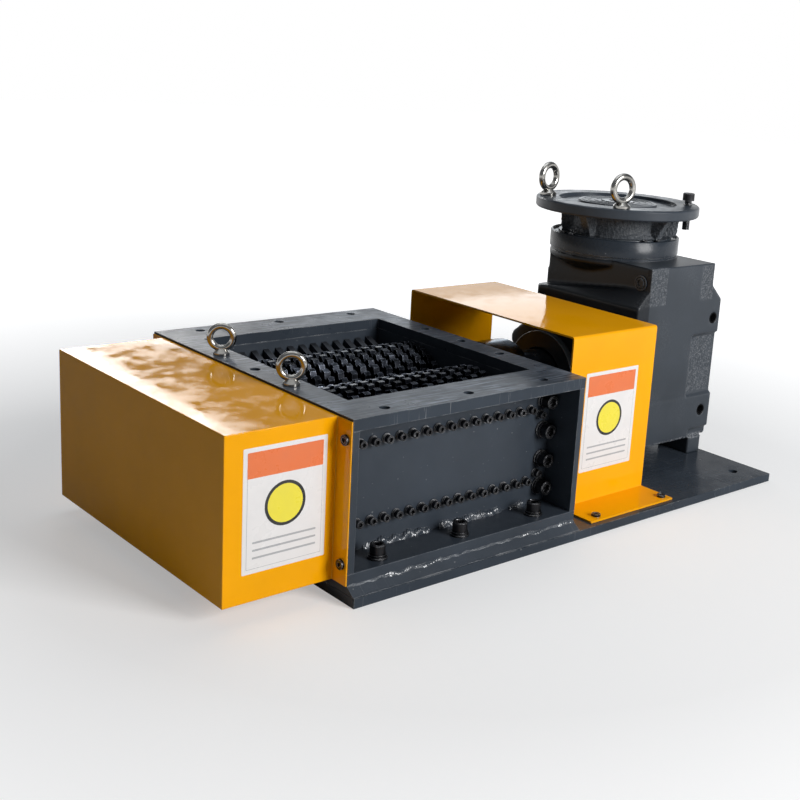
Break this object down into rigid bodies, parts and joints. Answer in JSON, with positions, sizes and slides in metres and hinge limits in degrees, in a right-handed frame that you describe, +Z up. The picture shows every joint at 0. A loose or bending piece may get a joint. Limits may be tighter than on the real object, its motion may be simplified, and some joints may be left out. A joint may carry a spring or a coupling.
{
  "type": "double shaft shredder",
  "caption": "Compact double shaft shredder: open cutting chamber with intermeshing toothed rotors, sheet covers, coupling guard and right angle gearbox with an upright motor flange, on a base plate.",
  "frame": {"origin": "Middle of the footprint on the floor: half way along X between the gear cover's end and the motor flange's edge, on the centre plane of the base plate in Y, at the underside of the base plate.", "axes": "+Z up; +X along the rotor shafts from the gear cover to the gearbox; +Y from the front of the machine to its back."},
  "size_m": [0.936, 0.471, 0.4426],
  "materials": {
    "frame_paint": "dark slate grey machinery enamel, semi-gloss, scuffed",
    "cover_paint": "amber yellow gloss enamel on folded sheet",
    "comb_steel": "dark painted and worn steel",
    "bright_steel": "bright plated steel",
    "black_steel": "black oxide screw steel",
    "knife_steel": "hardened tool steel, dark with bright edges",
    "shaft_steel": "turned and ground steel",
    "coupling_steel": "turned steel, oiled"
  },
  "bodies": {
    "machine": {"base_plate": "frame_paint", "sole_frame": "frame_paint", "bottom_frame": "frame_paint", "top_frame": "frame_paint", "end_plate_left": "frame_paint", "end_plate_right": "frame_paint", "bearing_plate_left": "frame_paint", "bearing_plate_right": "frame_paint", "side_wall_front": "frame_paint", "side_wall_back": "frame_paint", "drive_bearing_cap": "frame_paint", "idle_bearing_cap": "frame_paint", "gearbox_housing": "frame_paint", "gearbox_output_ring": "frame_paint", "input_stage": "frame_paint", "input_lantern": "frame_paint", "motor_flange": "frame_paint", "gear_cover": "cover_paint", "coupling_guard": "cover_paint", "comb_front": "comb_steel", "comb_back": "comb_steel", "chamber_eyebolt_front": "bright_steel", "chamber_eyebolt_back": "bright_steel", "flange_eyebolt_front": "bright_steel", "flange_eyebolt_back": "bright_steel", "input_hub": "bright_steel", "input_seal": "bright_steel", "flange_screw": "black_steel"},
    "drive_rotor": {"drive_knives": "knife_steel", "drive_spacers": "knife_steel", "drive_shaft": "shaft_steel", "drive_gear": "shaft_steel", "coupling_shaft_half": "coupling_steel", "coupling_gearbox_half": "coupling_steel"},
    "idle_rotor": {"idle_knives": "knife_steel", "idle_spacers": "knife_steel", "idle_shaft": "shaft_steel", "idle_gear": "shaft_steel"}
  },
  "joints": [
    {"name": "drive_rotor_spin", "type": "hinge", "parent": "machine", "child": "drive_rotor", "pos_m": [-0.153, 0.0695, 0.11625], "axis": [1, 0, 0], "continuous": true},
    {"name": "idle_rotor_spin", "type": "hinge", "parent": "machine", "child": "idle_rotor", "pos_m": [-0.153, -0.0695, 0.11625], "axis": [1, 0, 0], "continuous": true}
  ],
  "couplings": [
    {"joint": "idle_rotor_spin", "follows": "drive_rotor_spin", "ratio": -1}
  ]
}
